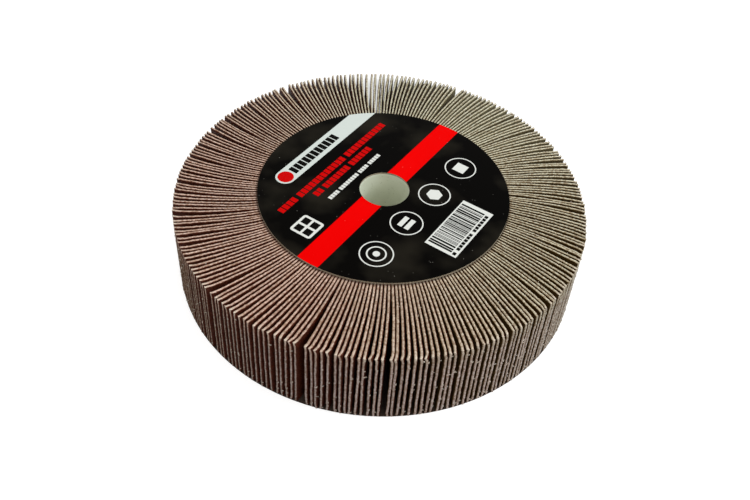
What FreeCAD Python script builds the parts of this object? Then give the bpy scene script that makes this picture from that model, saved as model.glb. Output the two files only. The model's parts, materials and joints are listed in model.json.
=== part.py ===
"""Flap wheel: abrasive cloth leaves, cast by their roots into a resin core under a printed card disc.

The wheel lies flat. The origin is the centre of the bore in the plane that the wheel rests on, +Z is the
bore's axis, and lengths are in millimetres. Each leaf stands on edge across the whole width of the wheel. Its
root end is straight and sits in a radial slot of the core, and the rest curls towards the wheel's clockwise
side, as seen from the card disc.
"""

import FreeCAD, Part

import math
import os
from types import SimpleNamespace

from Sketcher import Constraint

SIZES = (
    ("wheel_diameter", 165.0, "over the tips of the leaves"),
    ("wheel_width", 33.0, "width of each leaf and of the core, along the bore"),
    ("bore_diameter", 20.0, "bore for the spindle"),
    ("bore_chamfer", 0.5, "chamfer at both mouths of the bore"),
    ("flap_packs", 50, "groups of leaves around the wheel, one node each"),
    ("flaps_per_pack", 5, "leaves in a group"),
    ("flap_thickness", 0.8, "cloth backing with its coat of grain"),
    ("flap_curl", 15.0, "degrees that a leaf turns between the core and its tip"),
    ("bend_start", 0.5, "from the outside of the core to the start of the leaf's curl"),
    ("root_film", 0.1, "resin left between two leaves at their root ends"),
    ("root_depth", 8.0, "how deep a leaf sits in the core"),
    ("label_overlap", 6.7, "how far the card disc reaches past the core"),
    ("label_thickness", 0.7, "card disc with its film"),
    ("label_bore_gap", 0.05, "from the bore's wall to the edge of the card's hole"),
)

FLAP_COUNT = "Dimensions.flap_packs * Dimensions.flaps_per_pack"
PITCH = f"360 deg / ({FLAP_COUNT})"
# The leaves go in as close together as they can, with a film of resin between them.
ROOT_RADIUS = f"{FLAP_COUNT} * (Dimensions.flap_thickness + Dimensions.root_film) / (2 * pi)"
CORE_RADIUS = f"{ROOT_RADIUS} + Dimensions.root_depth"
BORE_RADIUS = "Dimensions.bore_diameter / 2"
RIM_RADIUS = "Dimensions.wheel_diameter / 2"
THICKNESS = "Dimensions.flap_thickness"
WIDTH = "Dimensions.wheel_width"
CHAMFER = "Dimensions.bore_chamfer"

# The places that a sketch constraint can name.
START, END, CENTRE = 1, 2, 3
AXES = -1
ORIGIN = (AXES, START)

# How far the slot's cut runs on past the outside of the core.
SLOT_OVERRUN = 2.0
# How much of its curl a leaf's first and second leg lean by.
LEG_SHARES = (0.25, 0.75)


def make_sheet(doc):
    """The driving dimensions, one row each: name, value and what it measures."""
    sheet = doc.addObject("Spreadsheet::Sheet", "Dimensions")
    for row, (name, value, meaning) in enumerate(SIZES, start=1):
        sheet.set(f"A{row}", name)
        sheet.set(f"B{row}", str(value))
        sheet.setAlias(f"B{row}", name)
        sheet.set(f"C{row}", meaning)
    doc.recompute()
    return sheet


def first_places(value):
    """Radii that start a sketch near its solved shape, so that it solves to the side that is meant."""
    count = value.flap_packs * value.flaps_per_pack
    root = count * (value.flap_thickness + value.root_film) / (2 * math.pi)
    core = root + value.root_depth
    return SimpleNamespace(
        bore=value.bore_diameter / 2,
        root=root,
        core=core,
        bend=core + value.bend_start,
        label=core + value.label_overlap,
        rim=value.wheel_diameter / 2,
    )


def add_sketch(body, name, role):
    """A sketch on one of the body's own origin planes."""
    sketch = body.newObject("Sketcher::SketchObject", name)
    plane = next(feature for feature in body.Origin.OriginFeatures if feature.Role == role)
    sketch.AttachmentSupport = [(plane, "")]
    sketch.MapMode = "FlatFace"
    return sketch


def add_line(sketch, start, end):
    line = Part.LineSegment(FreeCAD.Vector(*start), FreeCAD.Vector(*end))
    return sketch.addGeometry(line, False)


def add_circle(sketch, radius, construction=False):
    """A circle around the sketch's origin."""
    circle = Part.Circle(FreeCAD.Vector(0, 0, 0), FreeCAD.Vector(0, 0, 1), radius)
    index = sketch.addGeometry(circle, construction)
    tie(sketch, "Coincident", index, CENTRE, *ORIGIN)
    return index


def add_outline(sketch, corners):
    """A closed outline of straight lines with its corners joined."""
    lines = [add_line(sketch, start, end) for start, end in zip(corners, corners[1:] + corners[:1])]
    for line, following in zip(lines, lines[1:] + lines[:1]):
        tie(sketch, "Coincident", line, END, following, START)
    return lines


def tie(sketch, kind, *places):
    return sketch.addConstraint(Constraint(kind, *places))


def drive(sketch, name, formula, kind, *places):
    """A dimension that follows a formula of the sheet's values. Its first value is the last of the places."""
    index = tie(sketch, kind, *places)
    sketch.renameConstraint(index, name)
    sketch.setExpression(f"Constraints.{name}", formula)


def repeat_around(body, feature, section, count):
    """Repeats a feature around the bore's axis, one leaf's pitch apart."""
    pattern = body.newObject("PartDesign::PolarPattern", "Around")
    pattern.Originals = [feature]
    pattern.Axis = (section, ["N_Axis"])
    pattern.Mode = "Spacing"
    pattern.setExpression("Offset", PITCH)
    pattern.setExpression("Occurrences", count)
    body.Tip = pattern


def core_profile(body, value):
    """Half of the core's section, with a chamfer at each mouth of the bore."""
    sketch = add_sketch(body, "CoreProfile", "XZ_Plane")
    near = first_places(value)
    chamfer = value.bore_chamfer
    back, outside, front, front_chamfer, wall, back_chamfer = add_outline(
        sketch,
        [
            (near.bore + chamfer, 0),
            (near.core, 0),
            (near.core, value.wheel_width),
            (near.bore + chamfer, value.wheel_width),
            (near.bore, value.wheel_width - chamfer),
            (near.bore, chamfer),
        ],
    )
    tie(sketch, "Horizontal", back)
    tie(sketch, "Horizontal", front)
    tie(sketch, "Vertical", outside)
    tie(sketch, "Vertical", wall)
    tie(sketch, "PointOnObject", back, START, AXES)
    drive(sketch, "core_radius", CORE_RADIUS, "DistanceX", *ORIGIN, back, END, near.core)
    drive(sketch, "bore_radius", BORE_RADIUS, "DistanceX", *ORIGIN, wall, START, near.bore)
    drive(sketch, "width", WIDTH, "DistanceY", outside, START, outside, END, value.wheel_width)
    mouths = (("front", front_chamfer, END, START), ("back", back_chamfer, START, END))
    for side, line, wall_end, face_end in mouths:
        drive(sketch, f"{side}_across", CHAMFER, "DistanceX", line, wall_end, line, face_end, chamfer)
    drive(sketch, "front_along", CHAMFER, "DistanceY", front_chamfer, END, front_chamfer, START, chamfer)
    drive(sketch, "back_along", CHAMFER, "DistanceY", back_chamfer, END, back_chamfer, START, chamfer)
    return sketch


def slot_section(body, value):
    """The slot around one leaf's root, open at the outside of the core."""
    sketch = add_sketch(body, "SlotSection", "XY_Plane")
    near = first_places(value)
    half = value.flap_thickness / 2
    past = near.core + SLOT_OVERRUN
    lower, end, upper, bottom = add_outline(
        sketch, [(near.root, -half), (past, -half), (past, half), (near.root, half)]
    )
    tie(sketch, "Horizontal", lower)
    tie(sketch, "Horizontal", upper)
    tie(sketch, "Vertical", end)
    tie(sketch, "Vertical", bottom)
    drive(sketch, "slot_side", f"{THICKNESS} / 2", "DistanceY", lower, START, *ORIGIN, half)
    drive(sketch, "slot_width", THICKNESS, "DistanceY", bottom, END, bottom, START, 2 * half)
    drive(sketch, "slot_bottom", ROOT_RADIUS, "DistanceX", *ORIGIN, lower, START, near.root)
    drive(sketch, "slot_mouth", f"{CORE_RADIUS} + {SLOT_OVERRUN}", "DistanceX", *ORIGIN, lower, END, past)
    return sketch


def make_core(doc, value):
    """The cast resin core: the bore, and a slot that fits the root of every leaf."""
    body = doc.addObject("PartDesign::Body", "ResinCore")
    body.Label = "resin_core"
    profile = core_profile(body, value)
    casting = body.newObject("PartDesign::Revolution", "Casting")
    casting.Profile = profile
    casting.ReferenceAxis = (profile, ["V_Axis"])
    casting.Angle = 360
    section = slot_section(body, value)
    slot = body.newObject("PartDesign::Pocket", "RootSlot")
    slot.Profile = section
    slot.Type = "ThroughAll"
    slot.Reversed = True
    doc.recompute()
    repeat_around(body, slot, section, FLAP_COUNT)
    return body


def make_label(doc, value):
    """The card disc glued on the core's front face. Its hole is a little wider than the bore."""
    body = doc.addObject("PartDesign::Body", "LabelDisc")
    body.Label = "label_disc"
    near = first_places(value)
    sketch = add_sketch(body, "DiscOutline", "XY_Plane")
    sketch.setExpression("AttachmentOffset.Base.z", WIDTH)
    edge = add_circle(sketch, near.label)
    hole = add_circle(sketch, near.bore)
    drive(sketch, "edge_radius", f"{CORE_RADIUS} + Dimensions.label_overlap", "Radius", edge, near.label)
    drive(sketch, "hole_radius", f"{BORE_RADIUS} + Dimensions.label_bore_gap", "Radius", hole, near.bore)
    disc = body.newObject("PartDesign::Pad", "Disc")
    disc.Profile = sketch
    disc.setExpression("Length", "Dimensions.label_thickness")
    return body


def leaf_section(body, value):
    """A leaf seen along the bore: straight in the core, then curling over in two legs to a square-cut tip.

    The legs are as long as each other and are the chords of an even curl. That makes the first lean by a
    quarter of the curl and the second by three quarters.
    """
    sketch = add_sketch(body, "LeafSection", "XY_Plane")
    near = first_places(value)
    thickness = value.flap_thickness
    half = thickness / 2
    leg = (near.rim - near.bend) / 2
    leans = [math.radians(value.flap_curl) * share for share in LEG_SHARES]
    knee = (near.bend + leg * math.cos(leans[0]), -half - leg * math.sin(leans[0]))
    end = (knee[0] + leg * math.cos(leans[1]), knee[1] - leg * math.sin(leans[1]))
    below, first_leg, second_leg, tip, second_back, first_back, above, root_end = add_outline(
        sketch,
        [
            (near.root, -half),
            (near.bend, -half),
            knee,
            end,
            (end[0], end[1] + thickness),
            (knee[0], knee[1] + thickness),
            (near.bend, half),
            (near.root, half),
        ],
    )
    rim = add_circle(sketch, near.rim, construction=True)
    tie(sketch, "Horizontal", below)
    tie(sketch, "Horizontal", above)
    tie(sketch, "Vertical", root_end)
    tie(sketch, "Parallel", first_leg, first_back)
    tie(sketch, "Parallel", second_leg, second_back)
    tie(sketch, "Perpendicular", second_leg, tip)
    tie(sketch, "Equal", first_leg, second_leg)
    tie(sketch, "PointOnObject", tip, END, rim)
    drive(sketch, "rim_radius", RIM_RADIUS, "Radius", rim, near.rim)
    drive(sketch, "root_side", f"{THICKNESS} / 2", "DistanceY", below, START, *ORIGIN, half)
    drive(sketch, "root_width", THICKNESS, "DistanceY", root_end, END, root_end, START, thickness)
    drive(sketch, "root_place", ROOT_RADIUS, "DistanceX", *ORIGIN, below, START, near.root)
    bend_place = f"{CORE_RADIUS} + Dimensions.bend_start"
    drive(sketch, "bend_place", bend_place, "DistanceX", *ORIGIN, below, END, near.bend)
    drive(sketch, "leg_width", THICKNESS, "Distance", first_back, START, first_leg, thickness)
    drive(sketch, "tip_width", THICKNESS, "Distance", tip, thickness)
    for name, line, share, lean in zip(("first", "second"), (first_leg, second_leg), LEG_SHARES, leans):
        formula = f"Dimensions.flap_curl * {share} * 1 deg"
        drive(sketch, f"{name}_lean", formula, "Angle", line, START, AXES, START, lean)
    return sketch


def make_flap_pack(doc, value, index):
    """A group of neighbouring leaves, each a separate solid. The groups follow on around the wheel."""
    body = doc.addObject("PartDesign::Body", f"FlapPack{index + 1:02d}")
    body.Label = f"flap_pack_{index + 1:02d}"
    body.AllowCompound = True
    section = leaf_section(body, value)
    leaf = body.newObject("PartDesign::Pad", "Leaf")
    leaf.Profile = section
    leaf.setExpression("Length", WIDTH)
    repeat_around(body, leaf, section, "Dimensions.flaps_per_pack")
    body.setExpression("Placement.Rotation.Angle", f"{index} * 360 deg / Dimensions.flap_packs")
    return body


def check(doc, bodies):
    """Stops before anything is written if a feature failed or a shape isn't sound."""
    for item in doc.Objects:
        if "Invalid" in item.State or "Error" in item.State:
            raise RuntimeError(f"{item.Label} failed: {item.State}")
    for body in bodies:
        if body.Shape.isNull() or not body.Shape.isValid() or not body.Shape.Solids:
            raise RuntimeError(f"{body.Label} has no sound solid")


def main():
    doc = FreeCAD.newDocument("FlapWheel")
    sheet = make_sheet(doc)
    bodies = [make_core(doc, sheet), make_label(doc, sheet)]
    bodies += [make_flap_pack(doc, sheet, index) for index in range(int(sheet.flap_packs))]
    doc.recompute()
    check(doc, bodies)
    os.makedirs("parts", exist_ok=True)
    for body in bodies:
        body.Shape.exportStep(f"parts/{body.Label}.step")


main()
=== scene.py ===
"""The looks of a flap wheel: abrasive cloth leaves around a cast resin core, under a printed card disc.

The model's own frame is used throughout: the origin is the centre of the bore on the underside, +Z is the
bore's axis, and the camera looks along +Y from above the near side. Blender's lengths are metres. The wheel's
own sizes are worked out in millimetres and scaled once, when a mesh is made.
"""

import json
import math

import bpy
import numpy as np
from mathutils import Matrix, Vector


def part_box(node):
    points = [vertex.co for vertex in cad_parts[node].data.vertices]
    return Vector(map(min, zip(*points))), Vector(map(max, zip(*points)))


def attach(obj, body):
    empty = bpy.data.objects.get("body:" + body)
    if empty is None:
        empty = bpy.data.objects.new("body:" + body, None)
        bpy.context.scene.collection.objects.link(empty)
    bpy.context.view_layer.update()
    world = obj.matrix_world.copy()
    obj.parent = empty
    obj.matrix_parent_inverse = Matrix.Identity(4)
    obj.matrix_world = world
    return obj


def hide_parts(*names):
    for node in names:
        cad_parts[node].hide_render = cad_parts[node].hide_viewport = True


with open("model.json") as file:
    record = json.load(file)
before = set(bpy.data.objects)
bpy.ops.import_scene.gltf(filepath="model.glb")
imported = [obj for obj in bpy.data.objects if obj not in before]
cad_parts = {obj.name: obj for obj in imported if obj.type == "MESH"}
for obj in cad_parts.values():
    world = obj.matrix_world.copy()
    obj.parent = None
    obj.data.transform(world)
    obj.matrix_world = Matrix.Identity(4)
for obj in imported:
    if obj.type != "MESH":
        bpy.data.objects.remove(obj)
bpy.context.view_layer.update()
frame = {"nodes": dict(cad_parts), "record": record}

MM = 0.001
SEED = 20611

# The camera, and how far off the picture's centre its crop lies.
PHOTO_WIDTH_PX = 750
CAMERA_DISTANCE = 0.3684
CAMERA_ELEVATION = math.radians(45.66)
CAMERA_TURN_RIGHT = math.radians(1.47)
CAMERA_TURN_UP = math.radians(2.62)
CAMERA_ROLL = math.radians(4.29)
FOCAL_PX = 858.6
CROP_RIGHT_PX = 30
CROP_UP_PX = 40

# The wheel, in millimetres and degrees.
LEAVES = 250
LEAVES_PER_PACK = 5
PITCH = 360 / LEAVES
CORE_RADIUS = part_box("resin_core")[1][0] / MM
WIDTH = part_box("resin_core")[1][2] / MM
LABEL_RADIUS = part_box("label_disc")[1][0] / MM
LABEL_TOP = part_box("label_disc")[1][2] / MM
BORE_RADIUS = frame["record"]["mounts"][0]["dims"]["r_mm"]
THICKNESS = 0.8
ROOT_RADIUS = CORE_RADIUS - 8
BEND_RADIUS = CORE_RADIUS + 0.5
RIM_RADIUS = 82.5

# How the leaves lean over clockwise between the core and the rim, in degrees around the wheel.
LEAN_MEAN = 2.95
LEAN_WAVE = 0.9
LEAN_SCATTER = 0.14
LEAN_POWER = 1.35
TWIST_SCATTER = 0.065
LEAST_SPACING = 0.86
# Where leaves stand apart at the rim, and by how much more than their neighbours.
WIDE_GAPS = (
    (11, 0.6),
    (30.5, 0.8),
    (67, 1.1),
    (98, 0.6),
    (126, 1.1),
    (158.5, 1.3),
    (196, 0.9),
    (225, 1.0),
    (253.4, 1.25),
    (273.3, 0.4),
    (335, 0.9),
)
GAP_REACH = 3.5
# The rim isn't quite round or centred: the near leaves reach furthest.
RIM_TOWARDS_X = -0.6
RIM_TOWARDS_Y = -1.15
RIM_OVAL = -0.55

# A leaf's thickness from its cloth back to its grain, and how far each line of its cut edge stands proud.
LAYERS = THICKNESS * np.array([-0.49, -0.24, 0.04, 0.3, 0.4, 0.5])
CROWN = np.array([-0.16, 0.02, 0.06, -0.08, -0.22, -0.2])
LAYER_JITTER = np.array([0.03, 0.02, 0.02, 0.03, 0.04, 0.04])
CROWN_JITTER = np.array([0.03, 0.03, 0.03, 0.04, 0.05, 0.05])
# The fraying cloth is a little thinner than that at the card disc and thickest at the rim's upper edge.
THIN, THICK = 0.93, 1.26
SWELLING_BELOW = 0.75
SWELLING_NEAR = 0.075
# How much browner the threads are towards each side of the cut edge, and their colour there. The browner
# sides are painted shade.
BROWNER = np.array([0.9, 0.3, 0, 0.7, 1, 1])
BROWN = np.array([0.73, 0.56, 0.37])
CLOTH_EDGE, CLOTH_BACK, GRAIN = range(3)
LAYER_FINISH = (CLOTH_EDGE, CLOTH_EDGE, CLOTH_EDGE, GRAIN, GRAIN)

# The cut edges' colours along the top and down the rim, on the left of the wheel, in front and on its right.
# The pinker left and greener right are painted light of two colours.
TOP_LEFT = (223, 196, 184)
TOP_RIGHT = (216, 213, 193)
TOP_FAR_RIGHT = (220, 219, 196)
RIM_LEFT = (198, 179, 148)
RIM_FRONT = (223, 209, 208)
RIM_RIGHT = (212, 208, 199)
# The far tips' painted glow of backlight.
BACKLIGHT_GLOW = (228, 225, 212)
TINT_AXIS = math.radians(30)
# Places around the wheel, in degrees. Each comes with how sharply its effect fades to both sides, and with
# its strength. On the far right, the lighter tops and backs, the weaker browning and the glowing tips are
# painted light; the dimmed places are painted shade; the tips on the far left are darker.
FAR_RIGHT = (62, 3, 1)
LIT_BACKS = (66, 4, 1)
LESS_BROWN = (66, 3, 0.6)
BACKLIT_TIPS = (70, 4, 1)
DIM_FAR_TOP = (84, 8, 0.16)
DARKER_FAR_LEFT_TIPS = (150, 2, 0.55)
THICK_LEFT = (235, 2, 0.1)
DIM_LEFT_RIM = (236, 8, 0.3)
DIM_NEAR_TOP = (285, 3, 0.06)
THICK_NEAR = (285, 3, 0.05)
THIN_RIGHT = (336, 4, 0.09)

# Loose threads: how many a leaf has on average, the share of them at its tip, and their sizes in millimetres.
THREADS = 2.4
THREADS_AT_TIP = 0.85
THREAD_LENGTH = (0.25, 0.55)
THREAD_RADIUS_AT_TIP = (0.2, 0.36)
THREAD_RADIUS = 0.12

# The room's light overhead and at the sides.
ROOM_OVERHEAD = 0.6
ROOM_SIDES = 0.28
# How far the floor is lifted to white as it is seen, and the patch close behind the wheel where it is lifted
# less, which is a painted shadow.
FLOOR_LIFT = 0.75
FLOOR_LIFT_SHADED = 0.2
FLOOR_BELOW = 0.0001
SHADE_BEHIND = 0.048
SHADE_START = 0.07
SHADE_END = 0.087

# The print's lines run along one direction across the card disc.
PRINT_DIRECTION = math.radians(58.8)
PRINT_THICKNESS = 0.02


def add_camera():
    """The photograph's viewpoint. The shift is there because the picture is an off-centre crop."""
    away = Vector((0, -math.cos(CAMERA_ELEVATION), math.sin(CAMERA_ELEVATION)))
    place = away * CAMERA_DISTANCE
    forward = -away
    right = Vector((1, 0, 0))
    up = right.cross(forward)
    level = math.cos(CAMERA_TURN_UP)
    look = (forward * math.cos(CAMERA_TURN_RIGHT) + right * math.sin(CAMERA_TURN_RIGHT)) * level
    look += up * math.sin(CAMERA_TURN_UP)
    flat_right = look.cross(up).normalized()
    flat_up = flat_right.cross(look)
    rolled_right = flat_right * math.cos(CAMERA_ROLL) + flat_up * math.sin(CAMERA_ROLL)
    rolled_up = flat_up * math.cos(CAMERA_ROLL) - flat_right * math.sin(CAMERA_ROLL)
    data = bpy.data.cameras.new("camera")
    data.sensor_fit = "HORIZONTAL"
    data.lens = FOCAL_PX / PHOTO_WIDTH_PX * data.sensor_width
    data.shift_x = -CROP_RIGHT_PX / PHOTO_WIDTH_PX
    data.shift_y = -CROP_UP_PX / PHOTO_WIDTH_PX
    data.clip_start = 0.01
    camera = bpy.data.objects.new("camera", data)
    turned = Matrix((rolled_right, rolled_up, -look)).transposed().to_4x4()
    camera.matrix_world = Matrix.Translation(place) @ turned
    bpy.context.scene.collection.objects.link(camera)
    bpy.context.scene.camera = camera


def add_light(name, place, size, power, colour):
    """A soft square lamp that points at the wheel."""
    data = bpy.data.lights.new(name, "AREA")
    data.shape = "SQUARE"
    data.size = size
    data.energy = power
    data.color = colour
    lamp = bpy.data.objects.new(name, data)
    lamp.location = place
    lamp.rotation_euler = (-Vector(place)).to_track_quat("-Z", "Y").to_euler()
    bpy.context.scene.collection.objects.link(lamp)


def seen(tree):
    """Is 1 for what the camera sees, straight or by way of gloss or glass, and 0 for light on the object."""
    path = tree.nodes.new("ShaderNodeLightPath")
    either = path.outputs["Is Camera Ray"]
    for kind in ("Is Glossy Ray", "Is Transmission Ray"):
        larger = tree.nodes.new("ShaderNodeMath")
        larger.operation = "MAXIMUM"
        tree.links.new(either, larger.inputs[0])
        tree.links.new(path.outputs[kind], larger.inputs[1])
        either = larger.outputs[0]
    return either


def add_world():
    """White behind the wheel. For light there is a softer room, brighter overhead than at the sides."""
    world = bpy.data.worlds.new("studio")
    world.use_nodes = True
    tree = world.node_tree
    tree.nodes.clear()
    white = tree.nodes.new("ShaderNodeBackground")
    white.inputs["Color"].default_value = (1, 1, 1, 1)
    room = tree.nodes.new("ShaderNodeBackground")
    room.inputs["Color"].default_value = (1, 0.99, 0.98, 1)
    place = tree.nodes.new("ShaderNodeTexCoord")
    height = tree.nodes.new("ShaderNodeSeparateXYZ")
    tree.links.new(place.outputs["Generated"], height.inputs[0])
    level = tree.nodes.new("ShaderNodeMapRange")
    level.inputs["To Min"].default_value = ROOM_SIDES
    level.inputs["To Max"].default_value = ROOM_OVERHEAD
    tree.links.new(height.outputs["Z"], level.inputs["Value"])
    tree.links.new(level.outputs["Result"], room.inputs["Strength"])
    mix = tree.nodes.new("ShaderNodeMixShader")
    out = tree.nodes.new("ShaderNodeOutputWorld")
    tree.links.new(seen(tree), mix.inputs[0])
    tree.links.new(room.outputs[0], mix.inputs[1])
    tree.links.new(white.outputs[0], mix.inputs[2])
    tree.links.new(mix.outputs[0], out.inputs["Surface"])
    bpy.context.scene.world = world


def floor_material(name, colour, lifted):
    """Plain paper. As the camera sees it, it is lifted towards white, less so close behind the wheel, where
    the smaller lift is a painted shadow.
    """
    material = bpy.data.materials.new(name)
    material.use_nodes = True
    tree = material.node_tree
    tree.nodes.clear()
    paper = tree.nodes.new("ShaderNodeBsdfDiffuse")
    paper.inputs["Color"].default_value = (*colour, 1)
    out = tree.nodes.new("ShaderNodeOutputMaterial")
    if not lifted:
        tree.links.new(paper.outputs[0], out.inputs["Surface"])
        return material
    place = tree.nodes.new("ShaderNodeTexCoord")
    away = tree.nodes.new("ShaderNodeVectorMath")
    away.operation = "DISTANCE"
    away.inputs[1].default_value = (0, SHADE_BEHIND, 0)
    tree.links.new(place.outputs["Object"], away.inputs[0])
    lift = tree.nodes.new("ShaderNodeMapRange")
    lift.interpolation_type = "SMOOTHSTEP"
    lift.inputs["From Min"].default_value = SHADE_START
    lift.inputs["From Max"].default_value = SHADE_END
    lift.inputs["To Min"].default_value = FLOOR_LIFT_SHADED
    lift.inputs["To Max"].default_value = FLOOR_LIFT
    tree.links.new(away.outputs["Value"], lift.inputs["Value"])
    strength = tree.nodes.new("ShaderNodeMath")
    strength.operation = "MULTIPLY"
    tree.links.new(seen(tree), strength.inputs[0])
    tree.links.new(lift.outputs["Result"], strength.inputs[1])
    glow = tree.nodes.new("ShaderNodeEmission")
    tree.links.new(strength.outputs[0], glow.inputs["Strength"])
    both = tree.nodes.new("ShaderNodeAddShader")
    tree.links.new(paper.outputs[0], both.inputs[0])
    tree.links.new(glow.outputs[0], both.inputs[1])
    tree.links.new(both.outputs[0], out.inputs["Surface"])
    return material


def add_floor():
    """A white floor that keeps a faint shadow. Under the wheel, from the bore to the rim, it is a dark patch
    of painted shade.
    """
    bore, rim, far = [], [], []
    for turn in range(0, 360, 3):
        angle = math.radians(turn)
        for circle, reach in ((bore, BORE_RADIUS * MM), (rim, rim_reach(turn) * MM), (far, 3)):
            circle.append((reach * math.cos(angle), reach * math.sin(angle), -FLOOR_BELOW))
    count = len(rim)
    shade = [(i, count + i, count + (i + 1) % count, (i + 1) % count) for i in range(count)]
    outside = [tuple(corner + count for corner in face) for face in shade]
    mesh = bpy.data.meshes.new("floor")
    mesh.from_pydata(bore + rim + far, [], [*shade, *outside, tuple(range(count))])
    # Under the wheel the floor is a dark patch of painted shade.
    mesh.materials.append(floor_material("floor_shade", (0.07, 0.05, 0.04), False))
    mesh.materials.append(floor_material("floor", (0.5, 0.5, 0.5), True))
    mesh.polygons.foreach_set("material_index", [0] * count + [1] * (count + 1))
    floor = bpy.data.objects.new("floor", mesh)
    bpy.context.scene.collection.objects.link(floor)


def srgb(red, green, blue):
    """A colour as it is seen, 0 to 255, in the linear values that a shader takes."""
    levels = []
    for level in (red / 255, green / 255, blue / 255):
        levels.append(level / 12.92 if level <= 0.04045 else ((level + 0.055) / 1.055) ** 2.4)
    return (*levels, 1)


class Finish:
    """A material whose nodes are added one call at a time."""

    def __init__(self, name, roughness, specular):
        self.material = bpy.data.materials.new(name)
        self.material.use_nodes = True
        self.tree = self.material.node_tree
        self.shader = self.tree.nodes["Principled BSDF"]
        self.shader.inputs["Roughness"].default_value = roughness
        self.shader.inputs["Specular IOR Level"].default_value = specular

    def put(self, kind, values=None, **settings):
        """Adds a node. A value that is another node's socket is linked, and any other is set."""
        node = self.tree.nodes.new(kind)
        for key, setting in settings.items():
            setattr(node, key, setting)
        for key, value in (values or {}).items():
            self.set(node, key, value)
        return node

    def set(self, node, key, value):
        if isinstance(value, bpy.types.NodeSocket):
            self.tree.links.new(value, node.inputs[key])
        else:
            node.inputs[key].default_value = value

    def attribute(self, name, output="Fac"):
        return self.put("ShaderNodeAttribute", attribute_name=name).outputs[output]

    def place(self):
        """The point on the object, in metres."""
        return self.put("ShaderNodeTexCoord").outputs["Object"]

    def noise(self, vector, scale, detail=2.0, roughness=0.5):
        values = {"Vector": vector, "Scale": scale, "Detail": detail, "Roughness": roughness}
        return self.put("ShaderNodeTexNoise", values).outputs["Fac"]

    def cells(self, vector, scale, output="Distance"):
        return self.put("ShaderNodeTexVoronoi", {"Vector": vector, "Scale": scale}).outputs[output]

    def bands(self, vector, scale, direction):
        """Soft, slightly wavy bands that follow one another along X or Y."""
        values = {"Vector": vector, "Scale": scale, "Distortion": 0.6}
        return self.put("ShaderNodeTexWave", values, bands_direction=direction).outputs["Fac"]

    def ramp(self, value, low, high, bottom=0.0, top=1.0):
        """Turns a value from low to high into one from bottom to top."""
        values = {"Value": value, "From Min": low, "From Max": high, "To Min": bottom, "To Max": top}
        return self.put("ShaderNodeMapRange", values).outputs["Result"]

    def maths(self, operation, first, second):
        return self.put("ShaderNodeMath", {0: first, 1: second}, operation=operation).outputs[0]

    def mix(self, share, first, second, blend="MIX"):
        """Mixes two colours, which are the node's inputs 6 and 7."""
        values = {"Factor": share, 6: first, 7: second}
        node = self.put("ShaderNodeMix", None, data_type="RGBA", blend_type=blend)
        for key, value in values.items():
            self.set(node, key, value)
        return node.outputs[2]

    def bump(self, height, strength, distance, normal=None):
        values = {"Height": height, "Strength": strength, "Distance": distance}
        if normal is not None:
            values["Normal"] = normal
        return self.put("ShaderNodeBump", values).outputs["Normal"]

    def finish(self, colour=None, roughness=None, normal=None):
        for key, value in (("Base Color", colour), ("Roughness", roughness), ("Normal", normal)):
            if value is not None:
                self.set(self.shader, key, value)
        return self.material


def cloth_edge():
    """The cut edge of the cloth: the ends of its threads, pale and a little ragged. Paler fibres at the tips'
    upper corners are partly a painted highlight.
    """
    finish = Finish("cloth_edge", 0.85, 0.2)
    sheet = finish.attribute("sheet", "Vector")
    threads = finish.noise(sheet, 1.15, 2.0, 0.6)
    stain = finish.noise(sheet, 0.12, 2.0)
    shade = finish.mix(finish.ramp(threads, 0.38, 0.58), srgb(194, 180, 168), srgb(255, 255, 255))
    shade = finish.mix(finish.ramp(stain, 0.45, 0.7, 0.0, 0.3), shade, srgb(206, 194, 172))
    colour = finish.mix(1.0, finish.attribute("tint", "Vector"), shade, "MULTIPLY")
    # Pale fibres, and at the tips' upper corners a painted highlight.
    colour = finish.mix(finish.attribute("fray_and_highlight"), colour, srgb(226, 212, 194))
    return finish.finish(colour, normal=finish.bump(threads, 0.5, 0.0002))


def cloth_back():
    """The back of the cloth: a stiff resin-filled weave, khaki. Its colours are darker than the cloth is, as
    painted shade for the deep gaps between leaves, and the lighter backs on the far right are painted light.
    """
    finish = Finish("cloth_back", 0.7, 0.12)
    sheet = finish.attribute("sheet", "Vector")
    along = finish.bands(sheet, 0.62, "X")
    across = finish.bands(sheet, 0.55, "Y")
    weave = finish.maths("MULTIPLY", along, across)
    dirt = finish.noise(sheet, 0.25, 4.0)
    colour = finish.mix(finish.ramp(weave, 0.0, 0.8), srgb(64, 44, 10), srgb(92, 71, 27))
    colour = finish.mix(finish.ramp(dirt, 0.4, 0.7, 0.0, 0.6), colour, srgb(62, 42, 14))
    # Lighter backs on the far right are painted light.
    colour = finish.mix(finish.attribute("pale"), colour, srgb(164, 158, 122))
    return finish.finish(colour, normal=finish.bump(weave, 0.5, 0.00015))


def grain():
    """The coated face: brown grains set in resin, some glinting. Its browns are made darker and redder than
    the grain is, as painted shade for the deep gaps between leaves.
    """
    finish = Finish("grain", 0.6, 0.12)
    sheet = finish.attribute("sheet", "Vector")
    crystals = finish.cells(sheet, 3.2)
    kind = finish.cells(sheet, 3.2, "Color")
    lumps = finish.noise(sheet, 0.8, 3.0)
    colour = finish.mix(finish.ramp(lumps, 0.35, 0.65), srgb(78, 26, 10), srgb(104, 44, 22))
    colour = finish.mix(finish.ramp(kind, 0.66, 0.84, 0.0, 0.4), colour, srgb(126, 78, 52))
    colour = finish.mix(finish.ramp(crystals, 0.25, 0.6, 0.0, 0.7), colour, srgb(44, 14, 5))
    shape = finish.maths("ADD", finish.maths("MULTIPLY", crystals, -1.0), lumps)
    return finish.finish(colour, finish.ramp(kind, 0.2, 0.9, 0.45, 0.8), finish.bump(shape, 0.8, 0.0003))


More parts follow.
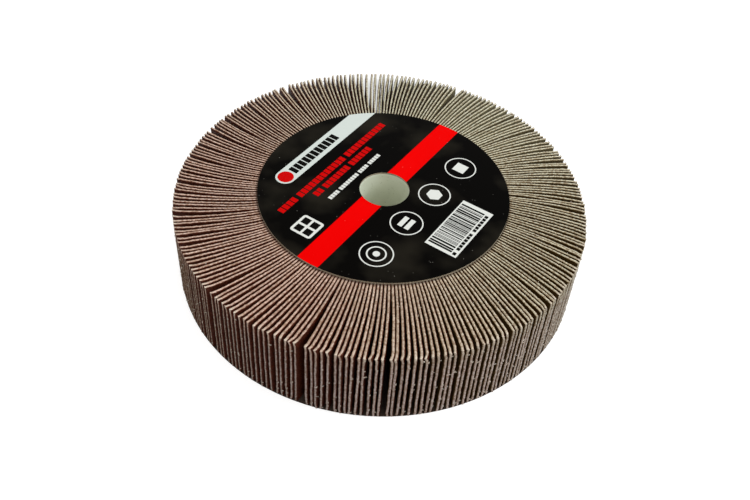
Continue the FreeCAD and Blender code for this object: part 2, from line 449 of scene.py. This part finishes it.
def resin():
    """Pale grey-green casting resin, satin, with faint swirls."""
    finish = Finish("resin", 0.45, 0.4)
    place = finish.place()
    swirl = finish.noise(place, 60.0, 3.0)
    specks = finish.noise(place, 900.0, 2.0)
    colour = finish.mix(finish.ramp(swirl, 0.3, 0.7), srgb(217, 221, 200), srgb(231, 234, 217))
    colour = finish.mix(finish.ramp(specks, 0.62, 0.75, 0.0, 0.4), colour, srgb(150, 148, 120))
    return finish.finish(colour, finish.ramp(swirl, 0.3, 0.7, 0.4, 0.55), finish.bump(specks, 0.2, 0.0001))


def printed(name, ink, haze=0.0):
    """Laminated print with dust and a faint haze. The ink is the same all over."""
    finish = Finish(name, 0.3, 0.015)
    place = finish.place()
    dust = finish.cells(place, 420.0)
    cloud = finish.noise(place, 38.0, 3.0)
    sparse = finish.ramp(finish.noise(place, 110.0, 1.0), 0.5, 0.7)
    specks = finish.maths("MULTIPLY", finish.ramp(dust, 0.1, 0.04), sparse)
    smudge = finish.ramp(cloud, 0.48, 0.68, 0.0, haze)
    colour = finish.mix(smudge, srgb(*ink), srgb(150, 140, 118))
    colour = finish.mix(finish.maths("MULTIPLY", specks, 0.35), colour, srgb(205, 202, 190))
    return finish.finish(colour, finish.ramp(cloud, 0.35, 0.7, 0.14, 0.26))


def board():
    """The bare edge of the card disc, grey-brown and a little fluffy."""
    finish = Finish("board", 0.8, 0.2)
    fibres = finish.noise(finish.place(), 2500.0, 2.0)
    colour = finish.mix(finish.ramp(fibres, 0.35, 0.65), srgb(138, 126, 106), srgb(186, 174, 152))
    return finish.finish(colour, normal=finish.bump(fibres, 0.4, 0.0001))


def rim_reach(angle):
    """How far the rim stands from the axis at an angle around the wheel, in degrees."""
    turn = np.radians(angle)
    return (
        RIM_RADIUS
        + RIM_TOWARDS_X * np.cos(turn)
        + RIM_TOWARDS_Y * np.sin(turn)
        + RIM_OVAL * np.cos(2 * turn)
    )


def tip_angles(rng):
    """Where each leaf's tip stands around the wheel, at its lower edge, middle and upper edge."""
    roots = np.arange(LEAVES) * PITCH
    tips = roots - LEAN_MEAN - LEAN_WAVE * np.cos(2 * np.radians(roots))
    from_gaps = [((tips - place + 180) % 360 - 180) / PITCH for place, _ in WIDE_GAPS]
    for away, (_, opening) in zip(from_gaps, WIDE_GAPS):
        tips = tips + np.sign(away) * opening / 2 * np.exp(-np.abs(away) / GAP_REACH)
    tips = tips + rng.normal(0, LEAN_SCATTER, LEAVES) * (1 + 0.4 * np.cos(np.radians(roots)) ** 2)
    angles = tips[:, None] + rng.normal(0, TWIST_SCATTER, (LEAVES, 3))
    for _ in range(100):
        following = np.roll(angles, -1, axis=0)
        following[-1] += 360
        short = np.clip(LEAST_SPACING - (following - angles), 0, None) / 2
        angles += np.roll(short, 1, axis=0) - short
    return angles


class Outline:
    """The stations round a leaf, from its root's lower corner past the tip to its root's upper corner."""

    UPPER_STEP = 0.55
    LOWER_STEP = 0.9
    TIP_STEP = 0.6

    def __init__(self):
        hidden = [ROOT_RADIUS, CORE_RADIUS - 0.3]
        lower = np.append(hidden, np.arange(CORE_RADIUS + 0.3, RIM_RADIUS - 0.4, self.LOWER_STEP))
        upper = np.arange(RIM_RADIUS - 0.35, LABEL_RADIUS - 0.8, -self.UPPER_STEP)
        upper = np.append(upper, [BEND_RADIUS, *reversed(hidden)])
        tip = np.arange(0, WIDTH + 0.01, WIDTH / round(WIDTH / self.TIP_STEP))
        self.radius = np.concatenate([lower, np.full(len(tip), RIM_RADIUS), upper])
        self.height = np.concatenate([np.zeros(len(lower)), tip, np.full(len(upper), WIDTH)])
        self.lower_corner = len(lower)
        self.upper_corner = len(lower) + len(tip) - 1
        self.count = len(self.radius)
        self.is_lower = np.arange(self.count) < self.lower_corner
        self.is_upper = np.arange(self.count) > self.upper_corner
        self.is_tip = ~self.is_lower & ~self.is_upper
        self.free = np.clip((self.radius - LABEL_RADIUS) / 4, 0, 1)


class Grid:
    """The coarser points inside each face of a leaf."""

    INSET = 1.3

    def __init__(self):
        far = RIM_RADIUS - self.INSET
        bend = np.linspace(BEND_RADIUS, far, 11)
        self.radii = np.concatenate([[ROOT_RADIUS + 1, CORE_RADIUS - 1], bend])
        self.heights = np.linspace(self.INSET, WIDTH - self.INSET, 8)
        across, up = np.meshgrid(self.radii, self.heights, indexing="ij")
        self.radius = across.ravel()
        self.height = up.ravel()
        self.count = len(self.radius)

    def index(self, column, row):
        return column * len(self.heights) + row


def zip_rows(first, first_at, second, second_at):
    """Triangles between two rows of points that run side by side."""
    triangles = []
    i, j = 0, 0
    while i < len(first) - 1 or j < len(second) - 1:
        next_first = first_at[i + 1] if i < len(first) - 1 else math.inf
        next_second = second_at[j + 1] if j < len(second) - 1 else math.inf
        if next_first <= next_second:
            triangles.append((first[i], first[i + 1], second[j]))
            i += 1
        else:
            triangles.append((first[i], second[j + 1], second[j]))
            j += 1
    return triangles


def leaf_faces(outline, grid):
    """The faces of one leaf and the finish of each, the same for every leaf."""
    layers = len(LAYERS)
    faces, finishes = [], []
    for station in range(outline.count - 1):
        here, there = station * layers, (station + 1) * layers
        for layer in range(layers - 1):
            faces.append((here + layer, here + layer + 1, there + layer + 1, there + layer))
            finishes.append(LAYER_FINISH[layer])
    last = (outline.count - 1) * layers
    for layer in range(layers - 1):
        faces.append((layer + 1, layer, last + layer, last + layer + 1))
        finishes.append(LAYER_FINISH[layer])
    columns, rows = len(grid.radii), len(grid.heights)
    low, high = outline.lower_corner, outline.upper_corner
    below = [(column, 0) for column in range(columns)]
    tip = [(columns - 1, row) for row in range(rows)]
    above = [(column, rows - 1) for column in reversed(range(columns))]
    root = [(0, row) for row in reversed(range(rows))]
    sides = (
        (range(0, low + 1), outline.radius, below, grid.radii),
        (range(low, high + 1), outline.height, tip, grid.heights),
        (range(high, outline.count), -outline.radius, above, -grid.radii[::-1]),
        ((outline.count - 1, 0), -outline.height, root, -grid.heights[::-1]),
    )
    for back, edge_layer, finish in ((True, 0, CLOTH_BACK), (False, layers - 1, GRAIN)):
        start = outline.count * layers + (0 if back else grid.count)
        patch = []
        for column in range(columns - 1):
            for row in range(rows - 1):
                corners = ((column, row), (column + 1, row), (column + 1, row + 1), (column, row + 1))
                patch.append(tuple(start + grid.index(*corner) for corner in corners))
        for stations, along, places, inner_at in sides:
            edge = [station * layers + edge_layer for station in stations]
            edge_at = [along[station] for station in stations]
            inner = [start + grid.index(*place) for place in places]
            patch += zip_rows(edge, edge_at, inner, inner_at)
        faces += [face if back else tuple(reversed(face)) for face in patch]
        finishes += [finish] * len(patch)
    return faces, finishes


class Leaf:
    """One leaf's own bend and cut. Its points are asked for in the flat sheet and come back in the wheel.

    The rise is how far its upper edge stands up, and the hook and the foot are how far the tip's upper and
    lower corners turn aside. The tone is how light its cut edge is, at random, and the pale how light its
    back is, which is painted light on the far right. The top and rim tones dim some places as painted shade.
    """

    REACH_SCATTER = 0.1
    POWER_SCATTER = 0.045
    RIPPLE = 0.0004
    RIPPLE_AT_SIDES = 0.002
    RISE_MEAN = -0.05
    RISE_SCATTER = 0.1
    RISE_MOST = 0.2
    HOOK_MEAN = -0.12
    HOOK_SCATTER = 0.11
    FOOT_SCATTER = 0.18
    TONE_LEAST = 0.84
    PALE_LEAST = 0.3
    PALE_MOST = 0.75

    def __init__(self, rng, index, tips):
        self.root = math.radians(index * PITCH)
        low, middle, high = (np.radians(tip) - self.root for tip in tips)
        self.swing = (low, 4 * middle - 3 * low - high, 2 * low + 2 * high - 4 * middle)
        self.reach = rim_reach(tips[1]) + rng.normal(0, self.REACH_SCATTER)
        self.power = LEAN_POWER + rng.normal(0, self.POWER_SCATTER)
        self.ripple = rng.normal(0, self.RIPPLE + self.RIPPLE_AT_SIDES * math.cos(self.root) ** 2)
        self.rise = min(rng.normal(self.RISE_MEAN, self.RISE_SCATTER), self.RISE_MOST)
        self.hook = rng.normal(self.HOOK_MEAN, self.HOOK_SCATTER) * (1 - 0.6 * math.sin(self.root))
        self.foot = rng.normal(0, self.FOOT_SCATTER)
        self.tone = rng.uniform(self.TONE_LEAST, 1)
        # The backs are lighter only on the far right, as painted light.
        self.pale = rng.uniform(self.PALE_LEAST, self.PALE_MOST) * towards(self, LIT_BACKS)
        # Dimmer tops and rims at some places are painted shade.
        self.top_tone = 1 - towards(self, DIM_FAR_TOP) - towards(self, DIM_NEAR_TOP)
        self.rim_tone = 1 - towards(self, DIM_LEFT_RIM)
        self.swelling = towards(self, THICK_LEFT) + towards(self, THICK_NEAR) - towards(self, THIN_RIGHT)

    def curve(self, radius, height):
        """The middle of the leaf, seen along the bore."""
        along = np.clip((radius - BEND_RADIUS) / (RIM_RADIUS - BEND_RADIUS), 0, None)
        share = height / WIDTH
        swing = self.swing[0] + self.swing[1] * share + self.swing[2] * share**2
        wave = self.ripple * np.sin(2 * math.pi * np.minimum(along, 1))
        angle = self.root + swing * along**self.power + wave
        reach = radius + along * (self.reach - RIM_RADIUS)
        return reach * np.cos(angle), reach * np.sin(angle)

    def place(self, radius, height, layer):
        x, y = self.curve(radius, height)
        ahead_x, ahead_y = self.curve(radius + 0.05, height)
        length = np.hypot(ahead_x - x, ahead_y - y)
        share = np.clip((radius - CORE_RADIUS) / (RIM_RADIUS - CORE_RADIUS), 0, 1)
        upper = np.clip((height - WIDTH + 2) / 2, 0, 1)
        growth = THIN + (THICK - THIN) * share * (SWELLING_BELOW + (1 - SWELLING_BELOW) * upper)
        growth += self.swelling * upper - SWELLING_NEAR * math.sin(self.root)
        layer = layer * np.where(radius > CORE_RADIUS, growth, 1)
        side_x, side_y = -(ahead_y - y) / length, (ahead_x - x) / length
        return np.stack([x + layer * side_x, y + layer * side_y, height], axis=-1)


def blend(first, second, share):
    """A colour between two others."""
    start, end = np.array(first[:3]), np.array(second[:3])
    return start + np.reshape(share, (-1, 1)) * (end - start)


def towards(leaf, place):
    """How strongly a leaf shows what is centred on a place around the wheel."""
    degrees, sharpness, strength = place
    return strength * max(math.cos(leaf.root - math.radians(degrees)), 0) ** sharpness


def edge_tint(leaf, radius, on_rim):
    """The colour of a leaf's cut edge: pinker on the wheel's left and greener on its right, which is painted
    light of two colours, and greyer down the rim.

    The tips on the far side carry a painted glow of backlight, those on the far left are darker, and a
    painted shadow darkens the cut edge along the card disc's edge. The dimmer tops and rims are painted
    shade.
    """
    right = np.clip(0.7 + 0.9 * math.cos(leaf.root - TINT_AXIS), 0, 1)
    front = max(-math.sin(leaf.root), 0) ** 2
    # Pinker on the left and greener on the right: painted light of two colours.
    top = blend(srgb(*TOP_LEFT), srgb(*TOP_RIGHT), right)[0]
    # The far right's lighter, greener tops are painted light.
    top = blend(top, srgb(*TOP_FAR_RIGHT), towards(leaf, FAR_RIGHT))[0]
    side = blend(srgb(*RIM_LEFT), srgb(*RIM_RIGHT), right)[0]
    rim = blend(side, srgb(*RIM_FRONT), front)[0]
    # A painted glow of backlight on the far tips.
    backlit = towards(leaf, BACKLIT_TIPS) * np.exp((radius - RIM_RADIUS) / 3)
    darkened = towards(leaf, DARKER_FAR_LEFT_TIPS) * np.exp((radius - RIM_RADIUS) / 1.2) * (1 - on_rim)
    # A painted shadow along the card disc's edge.
    card_edge_shadow = np.clip((radius - LABEL_RADIUS) / 0.9, 0.3, 1)
    plain = blend(top * leaf.top_tone, rim * leaf.rim_tone, on_rim)
    colour = plain + backlit[:, None] * (np.array(srgb(*BACKLIGHT_GLOW)[:3]) - plain)
    return leaf.tone * (card_edge_shadow * (1 - darkened))[:, None] * colour


def cut_edge(rng, leaf, outline):
    """Where each point of a leaf's cut edge is in the flat sheet, its fraying with a painted highlight at the
    tip's upper corner, and its tint, with painted light and shade.
    """
    count, layers = outline.count, len(LAYERS)
    threads = rng.normal(0, 1, (count, 1)) * CROWN_JITTER * 0.8
    proud = CROWN + threads + rng.normal(0, 1, (count, layers)) * CROWN_JITTER * 0.6
    wander = rng.normal(0, 0.02, count + 3)
    wander = np.convolve(wander, (0.4, 0.8, 0.8, 0.4), "valid") * outline.free * (0.5 + 0.7 * outline.is_tip)
    layer = LAYERS + rng.normal(0, 1, (count, layers)) * LAYER_JITTER + wander[:, None]
    radius = np.repeat(outline.radius[:, None], layers, axis=1)
    height = np.repeat(outline.height[:, None], layers, axis=1)
    free = outline.free[:, None]
    outward = 0.35 + 0.65 * np.clip((outline.radius - LABEL_RADIUS) / (RIM_RADIUS - LABEL_RADIUS), 0, 1)
    rise = (leaf.rise * outward + rng.normal(0, 0.03, count))[:, None]
    upper, lower, tip = (flag[:, None] for flag in (outline.is_upper, outline.is_lower, outline.is_tip))
    height = height + upper * free * (rise + proud)
    height = np.maximum(height, -0.3 * lower * free * proud)
    radius = radius + tip * proud
    corner = np.exp(-((radius - RIM_RADIUS) ** 2 + (height - WIDTH) ** 2) / 1.3**2)
    heel = np.exp(-((radius - RIM_RADIUS) ** 2 + height**2) / 1.0**2)
    layer = layer + leaf.hook * corner + leaf.foot * heel
    top = tip * np.clip((height - WIDTH + 1.5) / 1.5, 0, 1)
    height = height + top * (rise + 0.1 * rng.normal(0, 1, (count, layers)))
    height = np.clip(height, 0.0, None)
    # Paler fibres at the tip's upper corner, partly a painted highlight.
    fray_and_highlight = np.clip(corner * rng.uniform(0, 0.8), 0, 1)
    on_rim = tip * np.clip((WIDTH - height) / 9, 0, 1)
    tint = edge_tint(leaf, radius.ravel(), on_rim.ravel())
    # The browner sides of the cut edge are painted shade, weaker on the far right as painted light.
    browner = np.tile(BROWNER, count) * (1 - towards(leaf, LESS_BROWN))
    tint = tint * (1 - browner[:, None] * (1 - BROWN))
    layer = np.where(free > 0, layer, LAYERS)
    return radius.ravel(), height.ravel(), layer.ravel(), fray_and_highlight.ravel(), tint


def leaf_points(rng, leaf, outline, grid):
    """All points of a leaf, with where each is in the flat sheet, its fraying and painted highlight, and its
    tint.
    """
    radius, height, layer, fray_and_highlight, tint = cut_edge(rng, leaf, outline)
    back_layer = np.full(grid.count, LAYERS[0])
    front_layer = np.full(grid.count, LAYERS[-1])
    edge = leaf.place(radius, height, layer)
    back = leaf.place(grid.radius, grid.height, back_layer)
    front = leaf.place(grid.radius, grid.height, front_layer)
    points = np.concatenate([edge, back, front])
    sheet_radius = np.concatenate([radius, grid.radius, grid.radius])
    sheet_height = np.concatenate([height, grid.height, grid.height])
    sheet_layer = np.concatenate([layer, back_layer, front_layer])
    shift = rng.uniform(0, 500, 2)
    sheet = np.stack([sheet_radius + shift[0], sheet_height + shift[1], sheet_layer], axis=-1)
    frayed_and_lit = np.concatenate([fray_and_highlight, np.zeros(2 * grid.count)])
    tint = np.concatenate([tint, np.ones((2 * grid.count, 3))])
    return points, sheet, frayed_and_lit, tint


def thread_points(path, width):
    """A thread as a three-sided tube along a path, closed at both ends."""
    points = []
    for index, place in enumerate(path):
        ahead = path[min(index + 1, len(path) - 1)] - path[max(index - 1, 0)]
        ahead = ahead / np.linalg.norm(ahead)
        side = np.cross(ahead, (0.31, 0.52, 0.79))
        side = side / np.linalg.norm(side)
        other = np.cross(ahead, side)
        taper = width * (1 - 0.5 * index / (len(path) - 1))
        for turn in (0, 2 * math.pi / 3, 4 * math.pi / 3):
            points.append(place + taper * (math.cos(turn) * side + math.sin(turn) * other))
    faces = []
    for index in range(len(path) - 1):
        for side in range(3):
            here, following = 3 * index + side, 3 * index + (side + 1) % 3
            faces.append((here, following, following + 3, here + 3))
    last = 3 * (len(path) - 1)
    faces += [(2, 1, 0), (last, last + 1, last + 2)]
    return np.array(points), faces


def leaf_threads(rng, leaf):
    """Loose threads that hang out of a leaf's cut edges towards its grain side."""
    threads = []
    for _ in range(rng.poisson(THREADS)):
        at_tip = rng.uniform() < THREADS_AT_TIP
        radius = RIM_RADIUS if at_tip else rng.uniform(LABEL_RADIUS + 3, RIM_RADIUS)
        height = (WIDTH - 1) * rng.uniform(0, 1) ** 1.4 + 0.5 if at_tip else WIDTH + leaf.rise
        length = rng.uniform(*THREAD_LENGTH)
        out = rng.normal(0.15, 0.1)
        up = rng.normal(0.7, 0.5)
        side = rng.uniform(0.4, 0.8)
        curl = rng.normal(0, 1.2, 3)
        path = []
        for along in np.linspace(0, 1, 5):
            bend = along**2 * 0.4
            reach = radius + length * (out * along + bend * curl[0])
            layer = 0.3 * THICKNESS + length * (side * along + bend * curl[1])
            rise = height + length * (up * along + bend * curl[2])
            if not at_tip:
                rise = max(rise, height) + 0.1 * along
            path.append(leaf.place(np.array(min(reach, RIM_RADIUS + 1.2)), np.array(max(rise, 0.2)), layer))
        threads.append(thread_points(path, rng.uniform(*THREAD_RADIUS_AT_TIP) if at_tip else THREAD_RADIUS))
    return threads


def mesh_object(name, points, faces, finishes, materials):
    """A mesh in metres from points in millimetres, smooth apart from its sharp edges."""
    mesh = bpy.data.meshes.new(name)
    mesh.from_pydata((points * MM).tolist(), [], faces)
    for material in materials:
        mesh.materials.append(material)
    mesh.polygons.foreach_set("material_index", finishes)
    mesh.shade_smooth()
    mesh.set_sharp_from_angle(angle=math.radians(42))
    thing = bpy.data.objects.new(name, mesh)
    bpy.context.scene.collection.objects.link(thing)
    return thing


def add_values(mesh, name, values):
    """Stores a number, or three, at each point of a mesh for its materials to read."""
    kind = "FLOAT_VECTOR" if values.ndim == 2 else "FLOAT"
    attribute = mesh.attributes.new(name, kind, "POINT")
    attribute.data.foreach_set("vector" if values.ndim == 2 else "value", values.ravel().astype(np.float32))


def leaf_parts(rng, leaf, outline, grid, faces, finishes):
    """A leaf and its loose threads, each as points, sheet, fraying and painted highlight, tint, faces and
    finishes.
    """
    parts = [(*leaf_points(rng, leaf, outline, grid), faces, finishes)]
    for points, thread_faces in leaf_threads(rng, leaf):
        fray_and_highlight = np.full(len(points), rng.uniform(0.4, 1.0))
        tint = np.full((len(points), 3), 0.5)
        parts.append((points, points, fray_and_highlight, tint, thread_faces, [CLOTH_EDGE] * len(thread_faces)))
    return parts


def add_leaves(materials):
    """Every pack of leaves, each in place of its plain CAD node."""
    rng = np.random.default_rng(SEED)
    outline, grid = Outline(), Grid()
    faces, finishes = leaf_faces(outline, grid)
    tips = tip_angles(rng)
    for pack in range(LEAVES // LEAVES_PER_PACK):
        parts, pale = [], []
        for index in range(pack * LEAVES_PER_PACK, (pack + 1) * LEAVES_PER_PACK):
            leaf = Leaf(rng, index, tips[index])
            of_leaf = leaf_parts(rng, leaf, outline, grid, faces, finishes)
            pale += [np.full(len(part[0]), leaf.pale) for part in of_leaf]
            parts += of_leaf
        points, sheet, fray_and_highlight, tint, faces_of, finishes_of = zip(*parts)
        count = 0
        all_faces, all_finishes = [], []
        for place, part_faces, part_finishes in zip(points, faces_of, finishes_of):
            all_faces += [tuple(corner + count for corner in face) for face in part_faces]
            all_finishes += part_finishes
            count += len(place)
        node = f"flap_pack_{pack + 1:02d}"
        name = f"leaves_{pack + 1:02d}"
        piece = mesh_object(name, np.concatenate(points), all_faces, all_finishes, materials)
        for attribute, values in (("sheet", sheet), ("fray_and_highlight", fray_and_highlight), ("tint", tint), ("pale", pale)):
            add_values(piece.data, attribute, np.concatenate(values))
        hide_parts(node)
        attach(piece, "root")


def on_label(along, across):
    """A point of the card disc from its place along and across the print's direction."""
    cos, sin = math.cos(PRINT_DIRECTION), math.sin(PRINT_DIRECTION)
    return (along * cos - across * sin, along * sin + across * cos)


def bar(start, end, low, high):
    return [on_label(start, low), on_label(end, low), on_label(end, high), on_label(start, high)]


def rounded_bar(start, end, low, high, radius):
    """A bar with rounded corners."""
    corners = ((end - radius, low + radius, -90), (end - radius, high - radius, 0))
    corners += ((start + radius, high - radius, 90), (start + radius, low + radius, 180))
    outline = []
    for along, across, first in corners:
        for step in range(7):
            outline.append(disc_point(along, across, radius, math.radians(first + 15 * step)))
    return outline


def disc_point(along, across, radius, turn):
    """A point of a circle around a place of the print."""
    return on_label(along + radius * math.cos(turn), across + radius * math.sin(turn))


def disc(along, across, radius, sides=48):
    return [disc_point(along, across, radius, 2 * math.pi * side / sides) for side in range(sides)]


def ring(along, across, outer, inner, sides=72):
    """A ring as a belt of small quads."""
    outside, inside = disc(along, across, outer, sides), disc(along, across, inner, sides)
    return [[outside[i - 1], outside[i], inside[i], inside[i - 1]] for i in range(sides)]


def stripe_half(half_width, inner, outer, sign):
    """Half of the stripe through the bore, from the edge of the hole to the edge of the disc."""
    lanes = np.linspace(-half_width, half_width, 13)
    near = [on_label(sign * math.sqrt(inner**2 - lane**2), lane) for lane in lanes]
    far = [on_label(sign * math.sqrt(outer**2 - lane**2), lane) for lane in lanes]
    return near + far[::-1]


def print_piece(name, outlines, material, level=0):
    """Flat shapes as one thin layer of ink on the card disc."""
    bottom = LABEL_TOP + level * PRINT_THICKNESS
    points, places, faces = [], {}, []
    for outline in outlines:
        area = sum(a[0] * b[1] - b[0] * a[1] for a, b in zip(outline, outline[1:] + outline[:1]))
        corners = []
        for corner in outline if area > 0 else reversed(outline):
            key = (round(corner[0], 4), round(corner[1], 4))
            if key not in places:
                places[key] = len(points)
                points.append(corner)
            corners.append(places[key])
        faces.append(corners)
    count = len(points)
    edges = {(a, b) for face in faces for a, b in zip(face, face[1:] + face[:1])}
    sides = [(a, b, b + count, a + count) for a, b in sorted(edges) if (b, a) not in edges]
    solid = [tuple(reversed(face)) for face in faces]
    solid += [tuple(corner + count for corner in face) for face in faces]
    at = [(x, y, bottom) for x, y in points] + [(x, y, bottom + PRINT_THICKNESS) for x, y in points]
    piece = mesh_object(name, np.array(at), solid + sides, [0] * (len(solid) + len(sides)), [material])
    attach(piece, "root")


def words(start, end, low, high, lengths):
    """A line of plain blocks, in groups as long as words. It spells nothing."""
    pitch = (end - start) / (sum(lengths) + 0.6 * (len(lengths) - 1))
    blocks = []
    at = start
    for length in lengths:
        for _ in range(length):
            blocks.append(bar(at, at + pitch * 0.82, low, high))
            at += pitch
        at += 0.6 * pitch
    return blocks


def add_print():
    """The card's print: stripes, lines of blocks, four rings around plain shapes, and a field of bars.

    Every place and size is in millimetres, first along the print's direction and then across it.
    """
    rng = np.random.default_rng(SEED + 1)
    edge = LABEL_RADIUS - 0.02
    hole = BORE_RADIUS + 0.07
    red = printed("red_ink", (232, 0, 0))
    dull_red = printed("dull_red_ink", (198, 6, 6))
    white = printed("white_ink", (219, 220, 215))
    grey = printed("grey_ink", (206, 213, 208))
    black = printed("black_ink", (10, 9, 7))
    print_piece("red_stripe", [stripe_half(4.65, hole, edge, sign) for sign in (1, -1)], red)
    print_piece("red_line_long", words(-35.6, 35.2, 23.0, 26.0, (4, 12, 11)), dull_red)
    print_piece("red_line_short", words(-19.7, 18.1, 18.3, 21.2, (2, 7, 6)), dull_red)
    print_piece("white_line", words(-18, 16.7, 13.1, 14.9, (4, 8, 4, 5)), white)
    band_start, band_middle, band_half = -18.5, 35.7, 4.1
    lanes = np.linspace(band_middle - band_half, band_middle + band_half, 13)
    far = [on_label(math.sqrt(edge**2 - lane**2), lane) for lane in lanes]
    turns = np.linspace(math.pi / 2, math.pi * 1.5, 13)
    near = [disc_point(band_start, band_middle, band_half, turn) for turn in turns]
    print_piece("grey_band", [near + far], grey)
    print_piece("band_blocks", words(-14.2, 15.8, 33.6, 37.8, (11,)), black, level=1)
    print_piece("band_dot", [disc(-18.4, 35.7, 3.3)], dull_red, level=1)
    print_piece("white_box", [rounded_bar(-40.8, -30.9, 6.5, 16.1, 1.2)], white)
    panes = [bar(a, a + 3.3, b, b + 3.2) for a in (-39.7, -35.3) for b in (7.6, 11.8)]
    print_piece("box_panes", panes, black, level=1)
    rings = []
    for along in (-31.7, -11.1, 9.5, 30.2):
        rings += ring(along, -17.8, 6.6, 6.1)
    rings += ring(-31.7, -17.8, 3.9, 3.3) + [disc(-31.7, -17.8, 1.4)]
    rings += [bar(-14.1, -8.1, -17.3, -15.3), bar(-14.1, -8.1, -20.3, -18.3)]
    rings += [disc(9.5, -17.8, 3.3, 6)]
    rings += [bar(27.6, 32.8, -20.4, -15.2)]
    print_piece("rings", rings, white)
    print_piece("bar_field", [bar(-15.7, 13.8, -42.6, -28.9)], white)
    bars = []
    at = -14.2
    while at < 11.8:
        width = rng.choice([0.3, 0.3, 0.6, 0.9])
        bars.append(bar(at, at + width, -39.8, -29.5))
        at += width + rng.choice([0.3, 0.3, 0.6])
    bars += words(-14.8, 11.8, -41.8, -40.4, (1, 6, 6))
    print_piece("bars", bars, black, level=1)


def finish_nodes():
    """The CAD nodes that stay get their materials. The card is black on top, with bare board at its edges."""
    core, label = frame["nodes"]["resin_core"], frame["nodes"]["label_disc"]
    core.data.materials.clear()
    core.data.materials.append(resin())
    label.data.materials.clear()
    label.data.materials.append(printed("card", (5, 4, 3), 0.045))
    label.data.materials.append(board())
    for face in label.data.polygons:
        face.material_index = 0 if face.normal.z > 0.5 else 1


def main():
    bpy.context.scene.view_settings.view_transform = "Standard"
    add_camera()
    add_world()
    add_floor()
    add_light("key", (-0.1, 0.1, 1.0), 0.6, 2.7, (1, 0.98, 0.94))
    add_light("right", (0.8, 0, 0.7), 0.5, 4.4, (0.88, 0.96, 1))
    add_light("back", (0.55, 0.65, 0.5), 0.4, 1.9, (0.9, 0.98, 0.94))
    add_light("front", (0.3, -0.78, 0.5), 0.5, 1.35, (1, 0.97, 0.94))
    finish_nodes()
    add_leaves([cloth_edge(), cloth_back(), grain()])
    add_print()


main()
